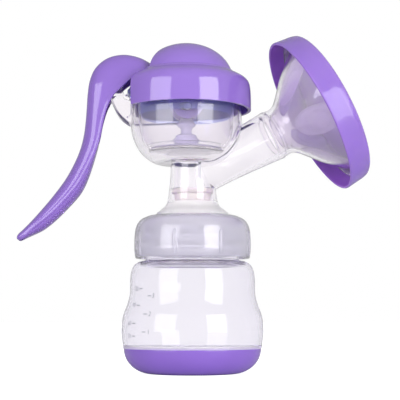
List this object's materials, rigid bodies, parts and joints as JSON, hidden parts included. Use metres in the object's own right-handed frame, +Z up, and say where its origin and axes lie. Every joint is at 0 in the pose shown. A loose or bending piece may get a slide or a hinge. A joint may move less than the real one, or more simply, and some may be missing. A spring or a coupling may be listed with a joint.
{
  "type": "manual breast pump",
  "caption": "Hand-squeezed breast pump: bottle in a foot cup, clear bowl with diaphragm and lever, slanted funnel with massage cushion and lid.",
  "frame": {"origin": "centre of the foot's resting face, on the bottle's axis", "axes": "+Z up along the bottle's axis, +X towards the funnel, handle towards -X, Y across"},
  "size_m": [0.1909, 0.09, 0.1849],
  "materials": {
    "purple_plastic": "high gloss, opaque",
    "lid_plastic": "high gloss, slightly translucent",
    "clear_plastic": "clear, polished",
    "frosted_plastic": "frosted, smooth",
    "white_silicone": "soft satin",
    "clear_silicone": "translucent satin",
    "stem_plastic": "moulded satin",
    "pin_steel": "polished"
  },
  "bodies": {
    "pump": {"foot_cup": "purple_plastic", "bottle": "clear_plastic", "bottle_seal": "white_silicone", "pump_body": "clear_plastic", "duckbill_valve": "white_silicone", "pivot_pin": "pin_steel", "diaphragm": "clear_silicone"},
    "collar": {"screw_collar": "frosted_plastic"},
    "handle": {"handle_shell": "purple_plastic", "handle_cover": "purple_plastic"},
    "stem": {"stem": "stem_plastic", "stem_pin": "stem_plastic"},
    "cap": {"cap": "purple_plastic"},
    "funnel": {"funnel": "clear_plastic", "massage_cushion": "clear_silicone"},
    "lid": {"funnel_lid": "lid_plastic"}
  },
  "joints": [
    {"name": "collar_turn", "type": "hinge", "parent": "pump", "child": "collar", "pos_m": [0, 0, 0.0733], "axis": [0, 0, 1], "continuous": true},
    {"name": "handle_squeeze", "type": "hinge", "parent": "pump", "child": "handle", "pos_m": [-0.044, 0, 0.156], "axis": [0, -1, 0], "range_deg": [0, 18], "stiffness_Nm_per_rad": 1, "springref_deg": -2.86},
    {"name": "stem_lift", "type": "slide", "parent": "pump", "child": "stem", "axis": [0, 0, 1], "range_m": [0, 0.0127], "deforming": ["diaphragm"]},
    {"name": "cap_lift", "type": "slide", "parent": "pump", "child": "cap", "axis": [0, 0, 1], "range_m": [0, 0.05]},
    {"name": "funnel_pull", "type": "slide", "parent": "pump", "child": "funnel", "axis": [0.8829, 0, 0.4695], "range_m": [0, 0.03]},
    {"name": "lid_pull", "type": "slide", "parent": "funnel", "child": "lid", "axis": [0.8829, 0, 0.4695], "range_m": [0, 0.05]}
  ],
  "couplings": [
    {"joint": "stem_lift", "follows": "handle_squeeze", "m_per_rad": 0.03998}
  ]
}
